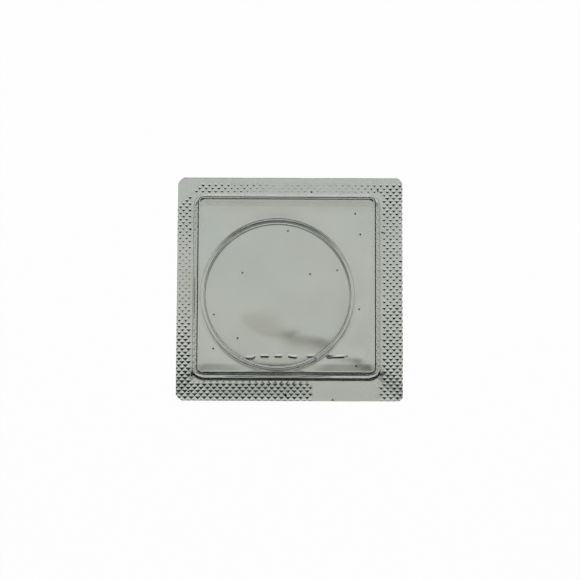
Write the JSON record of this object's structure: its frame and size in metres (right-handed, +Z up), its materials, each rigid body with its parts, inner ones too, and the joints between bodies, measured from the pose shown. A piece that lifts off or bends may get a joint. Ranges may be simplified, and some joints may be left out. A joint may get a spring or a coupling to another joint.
{
  "type": "watch crystal",
  "caption": "Round clear low-dome watch crystal lying loose in a square clear thermoformed peel pack that a knurled aluminium foil closes behind it.",
  "frame": {"origin": "middle of the pack's underside, on the surface that the foil lies on", "axes": "+Z up through the clear roof, +Y from the near edge, where the pack hinges when peeled, to the far edge with the grip strip, +X to the right of the picture"},
  "size_m": [0.05, 0.05, 0.0052],
  "materials": {
    "crystal": "polished clear acrylic",
    "tray": "glossy clear rigid sheet",
    "foil": "satin foil",
    "lacquer": "thin clear coat"
  },
  "bodies": {
    "lidding": {"lidding_foil": "foil"},
    "tray": {"blister_tray": "tray", "heat_seal_lacquer": "lacquer"},
    "crystal": {"watch_crystal": "crystal"}
  },
  "joints": [
    {"name": "peel_hinge", "type": "hinge", "parent": "lidding", "child": "tray", "pos_m": [0, -0.025, 0.00021], "axis": [1, 0, 0], "range_deg": [0, 135]},
    {"name": "crystal_slide", "type": "slide", "parent": "lidding", "child": "crystal", "axis": [0.7071, 0.7071, 0], "range_m": [-0.0008, 0.006]}
  ]
}
